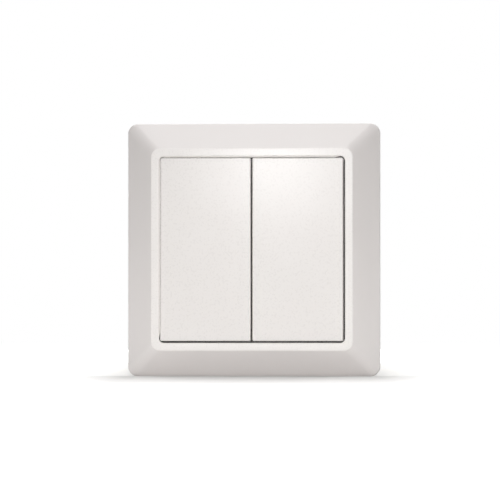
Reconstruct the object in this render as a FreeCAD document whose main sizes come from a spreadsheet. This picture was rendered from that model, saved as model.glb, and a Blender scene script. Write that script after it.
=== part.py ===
import FreeCAD
import Part
import Sketcher
import math
import os

# Wireless remote wall switch: two rockers in a bevelled square frame, held to the wall by a back plate.
# Every piece is drawn lying on its back: X across, Y up the wall, Z out of the wall from its surface.
# Each piece's placement then stands it up, so that the finished part faces -Y with +Z up.

doc = FreeCAD.newDocument("wall_switch")

# Driving dimensions, in millimetres and degrees.
sizes = doc.addObject("Spreadsheet::Sheet", "Sizes")
DRIVING = [
    ("rocker_width", 28.7, "one rocker across"),
    ("rocker_height", 57.7, "one rocker up the wall"),
    ("rocker_gap", 0.5, "gap beside and between the rockers"),
    ("rocker_end_gap", 0.6, "gap above and below a rocker"),
    ("rocker_proud", 1.2, "rocker face above the ring"),
    ("rocker_skin", 1.6, "thickness of the rocker's face wall"),
    ("rocker_skirt", 1.2, "thickness of the rocker's side walls"),
    ("rocker_corner", 0.5, "radius of the rocker's four corners"),
    ("rocker_edge", 0.4, "radius round the rocker's face"),
    ("rocker_tilt", 2.0, "tilt each way, degrees"),
    ("axle_depth", 2.9, "rocker face to axle centre"),
    ("axle_radius", 1.1, "stub axle radius"),
    ("axle_reach", 1.9, "length of a stub axle"),
    ("axle_offset", 9.4, "rocker centre line to the outer face of a hinge ear"),
    ("bearing_rise", 0.66, "bearing post above the axle's centre, so that the seat holds it"),
    ("bearing_half_width", 2.4, "bearing post, half its width"),
    ("ear_thickness", 1.4, "hinge ear"),
    ("ear_half_width", 2.2, "hinge ear, half its width at the root"),
    ("running_clearance", 0.05, "round a turning or sliding part"),
    ("travel_clearance", 0.3, "kept free at the end of travel"),
    ("actuator_arm", 6.5, "axle to each push contact"),
    ("actuator_radius", 1.3, "post that presses a plunger"),
    ("rib_thickness", 0.8, "stiffening ribs"),
    ("rib_depth", 0.8, "stiffening ribs, height"),
    ("near_rib_place", 11.9, "rocker centre to the nearer crossing ribs"),
    ("far_rib_place", 21.0, "rocker centre to the farther crossing ribs"),
    ("ring_band", 2.55, "ring seen round the rockers"),
    ("ring_proud", 0.4, "ring face above the bevel's inner edge"),
    ("ring_thickness", 1.4, "ring flange"),
    ("ring_lip", 0.5, "ring's lip over the bezel's inner edge"),
    ("ring_edge", 0.2, "radius of the ring's outer edge"),
    ("window_edge", 0.2, "bevel of the ring's inner edge"),
    ("window_corner", 1.5, "corner radius of the ring's opening"),
    ("ring_corner", 2.8, "outer corner radius of the ring"),
    ("ring_clearance", 0.1, "ring's step in the bezel's rebate"),
    ("bezel_land", 0.1, "flat rim between the ring and the bevel"),
    ("bevel_run", 7.9, "bevel, across"),
    ("bevel_rise", 6.2, "bevel, out from the wall"),
    ("bezel_side", 4.2, "straight outer side of the bezel"),
    ("bezel_corner", 3.0, "outer corner radius of the bezel"),
    ("bezel_edge", 0.35, "round between side and bevel"),
    ("bezel_wall", 1.8, "bezel wall thickness"),
    ("gusset_place", 10.6, "bezel's gusset ribs from the middle of each side"),
    ("plate_thickness", 1.5, "back plate"),
    ("plate_clearance", 0.3, "back plate inside the bezel"),
    ("carrier_wall", 1.4, "side walls of the inner frame"),
    ("floor_thickness", 1.0, "floor of the inner frame"),
    ("wall_foot", 4.4, "wall surface to the inner frame's raised lower edge"),
    ("corner_leg", 7.0, "length of each corner leg along the side"),
    ("board_level", 5.5, "wall surface to the back of the board"),
    ("board_thickness", 1.0, "circuit board"),
    ("board_clearance", 0.4, "board inside the inner frame's walls"),
    ("boss_radius", 2.2, "screw boss"),
    ("boss_height", 0.7, "screw boss in front of the floor"),
    ("screw_inset", 5.0, "screw centre from the board's edge"),
    ("screw_radius", 0.8, "board screw shank"),
    ("screw_head_radius", 1.6, "board screw head"),
    ("screw_head_height", 0.9, "board screw head"),
    ("mount_spacing", 60.0, "wall screw slots, centre to centre"),
    ("slot_width", 3.6, "wall screw slot"),
    ("slot_length", 7.0, "wall screw slot, end to end"),
    ("slot_end_flat", 0.002, "flat left at each end of a wall screw slot, between its two corner arcs"),
    ("hook_width", 6.0, "snap hook"),
    ("hook_thickness", 1.3, "snap hook"),
    ("hook_catch", 0.8, "how far a snap hook reaches into its window"),
    ("hook_position", 17.0, "snap hook from the middle of its side"),
    ("hook_clearance", 0.2, "round a snap hook's catch"),
    ("catch_level", 5.4, "wall surface to the underside of a hook's catch"),
    ("catch_height", 1.0, "thickness of a hook's catch"),
    ("switch_width", 6.0, "push contact, square"),
    ("switch_base_height", 1.5, "push contact base"),
    ("switch_well_depth", 1.0, "plunger's well in the base"),
    ("switch_cover_thickness", 0.2, "push contact cover"),
    ("plunger_radius", 1.65, "push contact plunger stem"),
    ("plunger_flange_height", 0.3, "plunger's square flange, front to back"),
    ("plunger_flange", 0.45, "plunger's square flange beyond its stem"),
    ("plunger_rise", 0.6, "plunger above the cover, half pressed"),
    ("cell_radius", 10.0, "coin cell"),
    ("cell_height", 3.2, "coin cell, can and lid together"),
    ("lid_height", 0.5, "coin cell's lid"),
    ("lid_radius", 8.8, "coin cell's lid"),
    ("cell_offset", 8.0, "coin cell above the board's middle"),
    ("contact_thickness", 0.35, "contact plate under the coin cell"),
    ("contact_width", 11.0, "contact plate under the coin cell, square"),
    ("clip_thickness", 0.3, "sheet of the cell's strap"),
    ("clip_foot", 1.5, "strap's feet on the board"),
    ("clip_bend", 0.27, "strap's bends, outside"),
    ("clip_width", 9.0, "strap over the cell"),
    ("aerial_length", 26.0, "aerial wire, leg to leg"),
    ("aerial_rise", 3.0, "aerial wire's run behind the board"),
    ("aerial_radius", 0.4, "aerial wire"),
    ("chip_width", 5.0, "radio chip, square"),
    ("chip_height", 0.9, "radio chip"),
    ("chip_offset", 11.0, "radio chip from the board's middle, across and down"),
    ("crystal_place", 2.75, "crystal can from the board's middle, across"),
    ("crystal_length", 3.2, "crystal can"),
    ("crystal_width", 2.5, "crystal can"),
    ("crystal_height", 0.7, "crystal can"),
    ("capacitor_place", 5.5, "first chip capacitor from the board's middle, across"),
    ("capacitor_length", 1.6, "chip capacitor"),
    ("capacitor_width", 0.8, "chip capacitor"),
    ("capacitor_height", 0.8, "chip capacitor"),
    ("capacitor_pitch", 1.8, "chip capacitors, one to the next"),
    ("capacitor_count", 5, "chip capacitors in the row"),
]
for row, (alias, number, meaning) in enumerate(DRIVING, start=1):
    sizes.set(f"A{row}", meaning)
    sizes.set(f"B{row}", str(number))
    sizes.setAlias(f"B{row}", alias)
doc.recompute()

# Places worked out from the driving dimensions. Levels are distances from the wall surface.
layout = doc.addObject("Spreadsheet::Sheet", "Layout")
WORKED_OUT = [
    ("window_width", "2 * Sizes.rocker_width + 3 * Sizes.rocker_gap"),
    ("window_height", "Sizes.rocker_height + 2 * Sizes.rocker_end_gap"),
    ("ring_width", "window_width + 2 * Sizes.ring_band"),
    ("ring_height", "window_height + 2 * Sizes.ring_band"),
    ("step_width", "ring_width - 2 * Sizes.ring_lip"),
    ("step_height", "ring_height - 2 * Sizes.ring_lip"),
    ("rebate_width", "step_width + 2 * Sizes.ring_clearance"),
    ("rebate_height", "step_height + 2 * Sizes.ring_clearance"),
    ("land_width", "ring_width + 2 * Sizes.bezel_land"),
    ("land_height", "ring_height + 2 * Sizes.bezel_land"),
    ("bezel_width", "land_width + 2 * Sizes.bevel_run"),
    ("bezel_height", "land_height + 2 * Sizes.bevel_run"),
    ("cavity_width", "bezel_width - 2 * Sizes.bezel_wall"),
    ("cavity_height", "bezel_height - 2 * Sizes.bezel_wall"),
    ("plate_width", "cavity_width - 2 * Sizes.plate_clearance"),
    ("plate_height", "cavity_height - 2 * Sizes.plate_clearance"),
    ("carrier_width", "window_width + 2 * Sizes.carrier_wall"),
    ("carrier_height", "window_height + 2 * Sizes.carrier_wall"),
    ("throat_width", "carrier_width + 2 * Sizes.ring_clearance"),
    ("throat_height", "carrier_height + 2 * Sizes.ring_clearance"),
    ("board_width", "window_width - 2 * Sizes.board_clearance"),
    ("board_height", "window_height - 2 * Sizes.board_clearance"),
    ("bezel_top", "Sizes.bezel_side + Sizes.bevel_rise"),
    ("ring_face", "bezel_top + Sizes.ring_proud"),
    ("ring_back", "ring_face - Sizes.ring_thickness"),
    ("rocker_face", "ring_face + Sizes.rocker_proud"),
    ("rocker_under", "rocker_face - Sizes.rocker_skin"),
    ("axle_level", "rocker_face - Sizes.axle_depth"),
    ("board_front", "Sizes.board_level + Sizes.board_thickness"),
    ("floor_front", "board_front + Sizes.floor_thickness"),
    ("end_travel", "Sizes.rocker_height / 2 * sin(Sizes.rocker_tilt * 1 deg)"),
    ("skirt_level", "floor_front + end_travel + Sizes.travel_clearance"),
    ("rocker_centre", "(Sizes.rocker_width + Sizes.rocker_gap) / 2"),
    ("screw_across", "board_width / 2 - Sizes.screw_inset"),
    ("screw_up", "board_height / 2 - Sizes.screw_inset"),
    ("base_top", "board_front + Sizes.switch_base_height"),
    ("cover_top", "base_top + Sizes.switch_cover_thickness"),
    ("plunger_tip", "cover_top + Sizes.plunger_rise"),
    ("press_travel", "Sizes.actuator_arm * sin(Sizes.rocker_tilt * 1 deg)"),
    ("cell_top", "Sizes.board_level - Sizes.contact_thickness"),
    ("cell_back", "cell_top - Sizes.cell_height"),
]
for row, (alias, formula) in enumerate(WORKED_OUT, start=1):
    layout.set(f"A{row}", alias.replace("_", " "))
    layout.set(f"B{row}", "=" + formula)
    layout.setAlias(f"B{row}", alias)
doc.recompute()

UPRIGHT = FreeCAD.Placement(FreeCAD.Vector(0, 0, 0), FreeCAD.Rotation(FreeCAD.Vector(1, 0, 0), 90))
OUTWARD = FreeCAD.Vector(0, 0, 1)


def value(expression):
    """The number that an expression over the two sheets gives now."""
    return float(layout.evalExpression(expression))


# Drawing helpers

def new_body(label):
    body = doc.addObject("PartDesign::Body", label)
    body.Label = label
    body.Placement = UPRIGHT
    return body


def origin_plane(body, role):
    return next(feature for feature in body.Origin.OriginFeatures if feature.Role == role)


def new_sketch(body, name, level="0", role="XY_Plane"):
    """Sketch parallel to an origin plane, moved along the plane's normal to a level."""
    sketch = body.newObject("Sketcher::SketchObject", name)
    sketch.AttachmentSupport = [(origin_plane(body, role), "")]
    sketch.MapMode = "FlatFace"
    sketch.setExpression(".AttachmentOffset.Base.z", level)
    return sketch


def drive(sketch, kind, places, expression):
    """Adds a dimension to a sketch and binds it to an expression."""
    index = sketch.addConstraint(Sketcher.Constraint(kind, *places, value(expression)))
    sketch.setExpression(f"Constraints[{index}]", expression)


def box(sketch, left, bottom, right, top):
    """Rectangle whose sides stand at four expressions, measured from the sketch's origin."""
    corners = [(left, bottom), (right, bottom), (right, top), (left, top)]
    points = [FreeCAD.Vector(value(x), value(y), 0) for x, y in corners]
    first = sketch.GeometryCount
    for index in range(4):
        sketch.addGeometry(Part.LineSegment(points[index], points[(index + 1) % 4]), False)
    for index in range(4):
        following = first + (index + 1) % 4
        sketch.addConstraint(Sketcher.Constraint("Coincident", first + index, 2, following, 1))
        direction = "Horizontal" if index % 2 == 0 else "Vertical"
        sketch.addConstraint(Sketcher.Constraint(direction, first + index))
    drive(sketch, "DistanceY", (-1, 1, first, 1), bottom)
    drive(sketch, "DistanceX", (-1, 1, first + 1, 1), right)
    drive(sketch, "DistanceY", (-1, 1, first + 2, 1), top)
    drive(sketch, "DistanceX", (-1, 1, first + 3, 1), left)


def centred_box(sketch, width, height):
    box(sketch, f"-({width}) / 2", f"-({height}) / 2", f"({width}) / 2", f"({height}) / 2")


def rounded_box(sketch, width, height, radius, centre_x="0", centre_y="0"):
    """Rectangle with four equal round corners about a centre."""
    left = f"{centre_x} - ({width}) / 2"
    right = f"{centre_x} + ({width}) / 2"
    bottom = f"{centre_y} - ({height}) / 2"
    top = f"{centre_y} + ({height}) / 2"
    x0, x1, y0, y1, r = (value(expression) for expression in (left, right, bottom, top, radius))
    first = sketch.GeometryCount
    sides = [((x0 + r, y0), (x1 - r, y0)), ((x1, y0 + r), (x1, y1 - r)),
             ((x1 - r, y1), (x0 + r, y1)), ((x0, y1 - r), (x0, y0 + r))]
    for start, end in sides:
        sketch.addGeometry(Part.LineSegment(FreeCAD.Vector(*start, 0), FreeCAD.Vector(*end, 0)), False)
    centres = [(x1 - r, y0 + r), (x1 - r, y1 - r), (x0 + r, y1 - r), (x0 + r, y0 + r)]
    quarter = math.pi / 2
    for index, centre in enumerate(centres):
        circle = Part.Circle(FreeCAD.Vector(*centre, 0), OUTWARD, r)
        arc = Part.ArcOfCircle(circle, (index - 1) * quarter, index * quarter)
        sketch.addGeometry(arc, False)
    for index in range(4):
        arc = first + 4 + index
        sketch.addConstraint(Sketcher.Constraint("Tangent", first + index, 2, arc, 1))
        sketch.addConstraint(Sketcher.Constraint("Tangent", arc, 2, first + (index + 1) % 4, 1))
        direction = "Horizontal" if index % 2 == 0 else "Vertical"
        sketch.addConstraint(Sketcher.Constraint(direction, first + index))
    for index in range(1, 4):
        sketch.addConstraint(Sketcher.Constraint("Equal", first + 4, first + 4 + index))
    drive(sketch, "Radius", (first + 4,), radius)
    drive(sketch, "DistanceY", (-1, 1, first, 1), bottom)
    drive(sketch, "DistanceX", (-1, 1, first + 1, 1), right)
    drive(sketch, "DistanceY", (-1, 1, first + 2, 1), top)
    drive(sketch, "DistanceX", (-1, 1, first + 3, 1), left)


def disc(sketch, radius, centre_x="0", centre_y="0"):
    """Circle about a centre given by expressions."""
    x, y = value(centre_x), value(centre_y)
    first = sketch.addGeometry(Part.Circle(FreeCAD.Vector(x, y, 0), OUTWARD, value(radius)), False)
    drive(sketch, "Radius", (first,), radius)
    for kind, expression in (("DistanceX", centre_x), ("DistanceY", centre_y)):
        if expression == "0":
            line = -2 if kind == "DistanceX" else -1
            sketch.addConstraint(Sketcher.Constraint("PointOnObject", first, 3, line))
        else:
            drive(sketch, kind, (-1, 1, first, 3), expression)


def square(sketch, side, centre_x, centre_y):
    half = f"({side}) / 2"
    box(sketch, f"{centre_x} - {half}", f"{centre_y} - {half}", f"{centre_x} + {half}", f"{centre_y} + {half}")


def outline(sketch, corners):
    """Closed outline of straight lines through corners, each a pair of expressions."""
    points = [FreeCAD.Vector(value(x), value(y), 0) for x, y in corners]
    count = len(points)
    first = sketch.GeometryCount
    for index in range(count):
        sketch.addGeometry(Part.LineSegment(points[index], points[(index + 1) % count]), False)
    for index in range(count):
        following = first + (index + 1) % count
        sketch.addConstraint(Sketcher.Constraint("Coincident", first + index, 2, following, 1))
    for index, (x, y) in enumerate(corners):
        for kind, line, expression in (("DistanceX", -2, x), ("DistanceY", -1, y)):
            if expression == "0":
                sketch.addConstraint(Sketcher.Constraint("PointOnObject", first + index, 1, line))
            else:
                drive(sketch, kind, (-1, 1, first + index, 1), expression)


def pad(body, name, sketch, length, both_ways=False):
    """Solid from a sketch along its normal, or half to each side of it."""
    feature = body.newObject("PartDesign::Pad", name)
    feature.Profile = sketch
    feature.setExpression("Length", length)
    if both_ways:
        feature.Midplane = True
    return feature


def pocket(body, name, sketch, depth, outward=False):
    """Cut from a sketch towards the wall, or away from it."""
    feature = body.newObject("PartDesign::Pocket", name)
    feature.Profile = sketch
    feature.setExpression("Length", depth)
    feature.Reversed = outward
    return feature


def mirrored_both_ways(body, name, originals):
    """Repeats features in all four quarters of the front view."""
    multi = body.newObject("PartDesign::MultiTransform", name)
    multi.Originals = originals
    mirrors = []
    for role in ("YZ_Plane", "XZ_Plane"):
        mirror = body.newObject("PartDesign::Mirrored", name + "_" + role[:2])
        mirror.MirrorPlane = (origin_plane(body, role), [""])
        mirrors.append(mirror)
    multi.Transformations = mirrors
    body.Tip = multi
    return multi


def mirrored(body, name, originals, role):
    """Repeats features across one origin plane."""
    mirror = body.newObject("PartDesign::Mirrored", name)
    mirror.Originals = originals
    mirror.MirrorPlane = (origin_plane(body, role), [""])
    body.Tip = mirror
    return mirror


def edges_at_level(feature, level):
    """Names of the edges that lie flat at one level."""
    doc.recompute()
    height = value(level)
    names = []
    for index, edge in enumerate(feature.Shape.Edges, start=1):
        bounds = edge.BoundBox
        if abs(bounds.ZMin - height) < 1e-4 and abs(bounds.ZMax - height) < 1e-4:
            names.append(f"Edge{index}")
    return names


def edge_round(body, name, feature, edges, radius):
    rounded = body.newObject("PartDesign::Fillet", name)
    rounded.Base = (feature, edges)
    rounded.setExpression("Radius", radius)
    return rounded


def edge_bevel(body, name, feature, edges, size):
    bevelled = body.newObject("PartDesign::Chamfer", name)
    bevelled.Base = (feature, edges)
    bevelled.setExpression("Size", size)
    return bevelled


# Bezel frame: the bevelled square that surrounds the switch. One moulding, hollow behind, with a
# rebate that the ring's step sits in and ribs that stand on the back plate.

def build_bezel_frame():
    body = new_body("bezel_frame")
    outer = new_sketch(body, "bezel_outer")
    rounded_box(outer, "Layout.bezel_width", "Layout.bezel_height", "Sizes.bezel_corner")
    pad(body, "bezel_sides", outer, "Sizes.bezel_side")
    lower = new_sketch(body, "bevel_lower", "Sizes.bezel_side")
    rounded_box(lower, "Layout.bezel_width", "Layout.bezel_height", "Sizes.bezel_corner")
    upper = new_sketch(body, "bevel_upper", "Layout.bezel_top")
    land_corner = "Sizes.ring_corner + Sizes.bezel_land"
    rounded_box(upper, "Layout.land_width", "Layout.land_height", land_corner)
    bevel = body.newObject("PartDesign::AdditiveLoft", "bevel")
    bevel.Profile = lower
    bevel.Sections = [upper]
    bevel.Ruled = True
    edges = edges_at_level(bevel, "Sizes.bezel_side")
    edge_round(body, "bezel_edge_round", bevel, edges, "Sizes.bezel_edge")

    # The room behind: straight sides, then four slopes that keep the wall even, then the throat.
    slope_start = "Sizes.bezel_side - Sizes.bezel_wall / 2"
    slope_end = "Layout.ring_back - Sizes.bezel_wall"
    cavity = new_sketch(body, "cavity")
    centred_box(cavity, "Layout.cavity_width", "Layout.cavity_height")
    pocket(body, "cavity_sides", cavity, slope_start, outward=True)
    slope = body.newObject("PartDesign::SubtractiveWedge", "cavity_slope")
    for name, expression in (
        ("Xmin", "-Layout.cavity_width / 2"), ("Xmax", "Layout.cavity_width / 2"),
        ("Zmin", "-Layout.cavity_height / 2"), ("Zmax", "Layout.cavity_height / 2"),
        ("X2min", "-Layout.throat_width / 2"), ("X2max", "Layout.throat_width / 2"),
        ("Z2min", "-Layout.throat_height / 2"), ("Z2max", "Layout.throat_height / 2"),
        ("Ymin", slope_start), ("Ymax", slope_end),
    ):
        slope.setExpression(name, expression)
    slope.Placement = UPRIGHT

    throat = new_sketch(body, "throat", "Layout.bezel_top")
    throat_corner = "Sizes.window_corner + Sizes.carrier_wall / 2"
    rounded_box(throat, "Layout.throat_width", "Layout.throat_height", throat_corner)
    pocket(body, "throat_cut", throat, "Layout.bezel_top")
    rebate = new_sketch(body, "rebate", "Layout.bezel_top")
    rebate_corner = "Sizes.ring_corner - Sizes.ring_lip + Sizes.ring_clearance"
    rounded_box(rebate, "Layout.rebate_width", "Layout.rebate_height", rebate_corner)
    pocket(body, "rebate_cut", rebate, "Layout.bezel_top - Layout.ring_back")

    # Gusset ribs between the side wall and the rebate, two on each side and their mirror images.
    gusset_top = "Layout.ring_back - Sizes.bezel_wall / 2"
    buried = "Sizes.rib_thickness"
    for name, role, level, half, throat_half in (
        ("side_rib", "XZ_Plane", "-Sizes.gusset_place", "Layout.cavity_width / 2", "Layout.throat_width / 2"),
        ("end_rib", "YZ_Plane", "Sizes.gusset_place", "Layout.cavity_height / 2", "Layout.throat_height / 2"),
    ):
        rib = new_sketch(body, name, level, role)
        outline(rib, [
            (f"{half} + {buried}", "Sizes.plate_thickness"),
            (f"{half} + {buried}", slope_start),
            (f"{throat_half} + Sizes.bezel_wall", gusset_top),
            (f"{throat_half} + Sizes.bezel_wall", "Layout.ring_back - 2 * Sizes.bezel_wall"),
            (f"{half} - 2 * Sizes.bezel_wall", "Sizes.plate_thickness"),
        ])
        feature = pad(body, name + "_pad", rib, "Sizes.rib_thickness", both_ways=True)
        mirrored_both_ways(body, name + "s", [feature])
    return body


# Back plate: flat moulding that is screwed to the wall. Its four hooks snap into the inner frame, and
# its edge keeps the bezel in place.

def build_back_plate():
    body = new_body("back_plate")
    sheet = new_sketch(body, "plate_outline")
    plate_corner = "Sizes.bezel_corner - Sizes.bezel_wall / 2"
    rounded_box(sheet, "Layout.plate_width", "Layout.plate_height", plate_corner)
    pad(body, "plate", sheet, "Sizes.plate_thickness")

    # Guides that stand inside the corner legs of the inner frame.
    guide_outer_x = "Layout.window_width / 2 - Sizes.plate_clearance"
    guide_outer_y = "Layout.window_height / 2 - Sizes.plate_clearance"
    leg = "Sizes.corner_leg"
    thick = "Sizes.rib_thickness"
    guide = new_sketch(body, "corner_guide", "Sizes.plate_thickness")
    outline(guide, [
        (f"{guide_outer_x} - Sizes.window_corner", f"{guide_outer_y}"),
        (f"{guide_outer_x} - {leg}", f"{guide_outer_y}"),
        (f"{guide_outer_x} - {leg}", f"{guide_outer_y} - {thick}"),
        (f"{guide_outer_x} - Sizes.window_corner - {thick} / 2", f"{guide_outer_y} - {thick}"),
        (f"{guide_outer_x} - {thick}", f"{guide_outer_y} - Sizes.window_corner - {thick} / 2"),
        (f"{guide_outer_x} - {thick}", f"{guide_outer_y} - {leg}"),
        (f"{guide_outer_x}", f"{guide_outer_y} - {leg}"),
        (f"{guide_outer_x}", f"{guide_outer_y} - Sizes.window_corner"),
    ])
    guide_pad = pad(body, "corner_guide_pad", guide, "Sizes.wall_foot - Sizes.plate_thickness")
    mirrored_both_ways(body, "corner_guides", [guide_pad])

    # Low ribs that stiffen the middle, in a square round the coin cell's room.
    rib_outer = "Sizes.mount_spacing / 2 - Sizes.slot_length"
    rib_inner = f"({rib_outer} - Sizes.rib_thickness)"
    square_rib = new_sketch(body, "square_rib", "Sizes.plate_thickness")
    box(square_rib, f"-({rib_outer})", f"-({rib_outer})", rib_outer, rib_outer)
    box(square_rib, f"-{rib_inner}", f"-{rib_inner}", rib_inner, rib_inner)
    pad(body, "square_rib_pad", square_rib, "Sizes.rib_depth")

    # Snap hooks, with the moulding hole under each catch.
    inside = "Layout.carrier_width / 2 + Sizes.hook_clearance / 2"
    catch_top = "Sizes.catch_level + Sizes.catch_height"
    hook = new_sketch(body, "hook", "-Sizes.hook_position", "XZ_Plane")
    outline(hook, [
        (f"{inside}", "Sizes.plate_thickness / 2"),
        (f"{inside} + Sizes.hook_thickness", "Sizes.plate_thickness / 2"),
        (f"{inside} + Sizes.hook_thickness", f"{catch_top} - Sizes.catch_height / 3"),
        (f"{inside} + Sizes.hook_thickness * 2 / 3", f"{catch_top}"),
        (f"{inside}", f"{catch_top}"),
        (f"{inside} - Sizes.hook_catch", f"Sizes.catch_level + Sizes.catch_height / 4"),
        (f"{inside} - Sizes.hook_catch", "Sizes.catch_level"),
        (f"{inside}", "Sizes.catch_level"),
    ])
    hook_pad = pad(body, "hook_pad", hook, "Sizes.hook_width", both_ways=True)
    mirrored_both_ways(body, "hooks", [hook_pad])
    core = new_sketch(body, "hook_core", "Sizes.plate_thickness")
    box(core, f"{inside} - Sizes.hook_catch - Sizes.carrier_wall / 2",
        "Sizes.hook_position - Sizes.hook_width / 2",
        f"{inside} - Sizes.hook_clearance / 2",
        "Sizes.hook_position + Sizes.hook_width / 2")
    core_cut = pocket(body, "hook_core_cut", core, "Sizes.plate_thickness")
    mirrored_both_ways(body, "hook_cores", [core_cut])

    # Slots for the wall screws: one pair across and one pair up the wall.
    across = new_sketch(body, "slots_across", "Sizes.plate_thickness")
    rounded_box(across, "Sizes.slot_length", "Sizes.slot_width", "(Sizes.slot_width - Sizes.slot_end_flat) / 2",
                centre_x="Sizes.mount_spacing / 2")
    across_cut = pocket(body, "slot_across_cut", across, "Sizes.plate_thickness")
    mirrored(body, "slots_across_pair", [across_cut], "YZ_Plane")
    upright = new_sketch(body, "slots_upright", "Sizes.plate_thickness")
    rounded_box(upright, "Sizes.slot_width", "Sizes.slot_length", "(Sizes.slot_width - Sizes.slot_end_flat) / 2",
                centre_y="Sizes.mount_spacing / 2")
    upright_cut = pocket(body, "slot_upright_cut", upright, "Sizes.plate_thickness")
    mirrored(body, "slots_upright_pair", [upright_cut], "XZ_Plane")
    return body


# Inner frame: the carrier. Its flange is the ring seen round the rockers: a step sits in the bezel's
# rebate and a lip over it clamps the bezel and hides the joint. Its walls stand on the back plate by
# four corner legs, and its floor carries the board and the bearings.

def build_inner_frame():
    body = new_body("inner_frame")
    step = new_sketch(body, "step", "Layout.ring_back")
    rounded_box(step, "Layout.step_width", "Layout.step_height", "Sizes.ring_corner - Sizes.ring_lip")
    pad(body, "step_pad", step, "Layout.bezel_top - Layout.ring_back")
    lip = new_sketch(body, "lip", "Layout.bezel_top")
    rounded_box(lip, "Layout.ring_width", "Layout.ring_height", "Sizes.ring_corner")
    ring = pad(body, "lip_pad", lip, "Sizes.ring_proud")
    edges = edges_at_level(ring, "Layout.ring_face")
    edge_round(body, "ring_outer_round", ring, edges, "Sizes.ring_edge")

    carrier_corner = "Sizes.window_corner + Sizes.carrier_wall / 2"
    walls = new_sketch(body, "walls", "Sizes.plate_thickness")
    rounded_box(walls, "Layout.carrier_width", "Layout.carrier_height", carrier_corner)
    pad(body, "walls_pad", walls, "Layout.ring_face - Sizes.ring_edge - Sizes.plate_thickness")
    well = new_sketch(body, "well", "Layout.ring_face")
    rounded_box(well, "Layout.window_width", "Layout.window_height", "Sizes.window_corner")
    well_cut = pocket(body, "well_cut", well, "Layout.ring_face - Layout.floor_front")
    edges = edges_at_level(well_cut, "Layout.ring_face")
    edges = [name for name in edges if inside_window(well_cut, name)]
    edge_bevel(body, "ring_inner_bevel", well_cut, edges, "Sizes.window_edge")
    board_room = new_sketch(body, "board_room", "Sizes.plate_thickness")
    rounded_box(board_room, "Layout.window_width", "Layout.window_height", "Sizes.window_corner")
    pocket(body, "board_room_cut", board_room, "Layout.board_front - Sizes.plate_thickness", outward=True)

    # The walls are cut back between the corner legs, to pass over the wall screws.
    for name, width, height in (
        ("side_relief", "Layout.carrier_width * 2", "Layout.window_height - 2 * Sizes.corner_leg"),
        ("end_relief", "Layout.window_width - 2 * Sizes.corner_leg", "Layout.carrier_height * 2"),
    ):
        relief = new_sketch(body, name, "Sizes.plate_thickness")
        centred_box(relief, width, height)
        pocket(body, name + "_cut", relief, "Sizes.wall_foot - Sizes.plate_thickness", outward=True)

    # Windows for the snap hooks.
    window = new_sketch(body, "hook_window", "Layout.carrier_width / 2 + Sizes.carrier_wall", "YZ_Plane")
    box(window, "Sizes.hook_position - Sizes.hook_width / 2 - Sizes.hook_clearance",
        "Sizes.catch_level - Sizes.hook_clearance",
        "Sizes.hook_position + Sizes.hook_width / 2 + Sizes.hook_clearance",
        "Sizes.catch_level + Sizes.catch_height + Sizes.hook_clearance")
    window_cut = pocket(body, "hook_window_cut", window, "3 * Sizes.carrier_wall - Sizes.carrier_wall / 2")
    mirrored_both_ways(body, "hook_windows", [window_cut])

    # Screw bosses for the board.
    boss = new_sketch(body, "boss", "Layout.floor_front")
    disc(boss, "Sizes.boss_radius", "Layout.screw_across", "Layout.screw_up")
    boss_pad = pad(body, "boss_pad", boss, "Sizes.boss_height")
    mirrored_both_ways(body, "bosses", [boss_pad])
    bore = new_sketch(body, "boss_bore", "Layout.board_front")
    disc(bore, "Sizes.screw_radius + Sizes.running_clearance", "Layout.screw_across", "Layout.screw_up")
    bore_cut = pocket(body, "boss_bore_cut", bore, "Sizes.floor_thickness + Sizes.boss_height", outward=True)
    mirrored_both_ways(body, "boss_bores", [bore_cut])

    # Windows in the floor for the push contacts.
    opening = new_sketch(body, "contact_window", "Layout.floor_front")
    room = "Sizes.switch_width + 4 * Sizes.switch_cover_thickness"
    square(opening, room, "Layout.rocker_centre", "Sizes.actuator_arm")
    opening_cut = pocket(body, "contact_window_cut", opening, "Sizes.floor_thickness")
    mirrored_both_ways(body, "contact_windows", [opening_cut])

    # Bearing posts for the rockers' stub axles. Each round seat breaks through the post's top a little
    # above the axle's centre, so that the axle snaps in from the front.
    seat_radius = "Sizes.axle_radius + Sizes.running_clearance"
    post_reach = "Sizes.axle_reach + Sizes.running_clearance"
    post_top = "Layout.axle_level + Sizes.bearing_rise"
    post_half = "Sizes.bearing_half_width"
    for name, side in (("outer_post", "+"), ("inner_post", "-")):
        middle = f"Layout.rocker_centre {side} (Sizes.axle_offset + Sizes.running_clearance * 4 + {post_reach} / 2)"
        post = new_sketch(body, name, middle, "YZ_Plane")
        outline(post, [
            (f"-{post_half}", "Layout.floor_front - Sizes.floor_thickness / 2"),
            (f"{post_half}", "Layout.floor_front - Sizes.floor_thickness / 2"),
            (f"{post_half}", f"{post_top} - Sizes.axle_radius / 2"),
            (f"{post_half} - Sizes.axle_radius / 2", f"{post_top}"),
            (f"-{post_half} + Sizes.axle_radius / 2", f"{post_top}"),
            (f"-{post_half}", f"{post_top} - Sizes.axle_radius / 2"),
        ])
        post_pad = pad(body, name + "_pad", post, f"{post_reach} - Sizes.running_clearance * 4", both_ways=True)
        mirrored(body, name + "s", [post_pad], "YZ_Plane")
        seat = new_sketch(body, name + "_seat", middle, "YZ_Plane")
        disc(seat, seat_radius, "0", "Layout.axle_level")
        seat_cut = pocket(body, name + "_seat_cut", seat, post_reach)
        seat_cut.Midplane = True
        mirrored(body, name + "_seats", [seat_cut], "YZ_Plane")
    return body


def inside_window(feature, edge_name):
    """Whether an edge lies on the ring's opening rather than on its outer outline."""
    bounds = feature.Shape.getElement(edge_name).BoundBox
    half_width = value("Layout.window_width") / 2 + 0.01
    half_height = value("Layout.window_height") / 2 + 0.01
    return max(-bounds.XMin, bounds.XMax) < half_width and max(-bounds.YMin, bounds.YMax) < half_height


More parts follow.
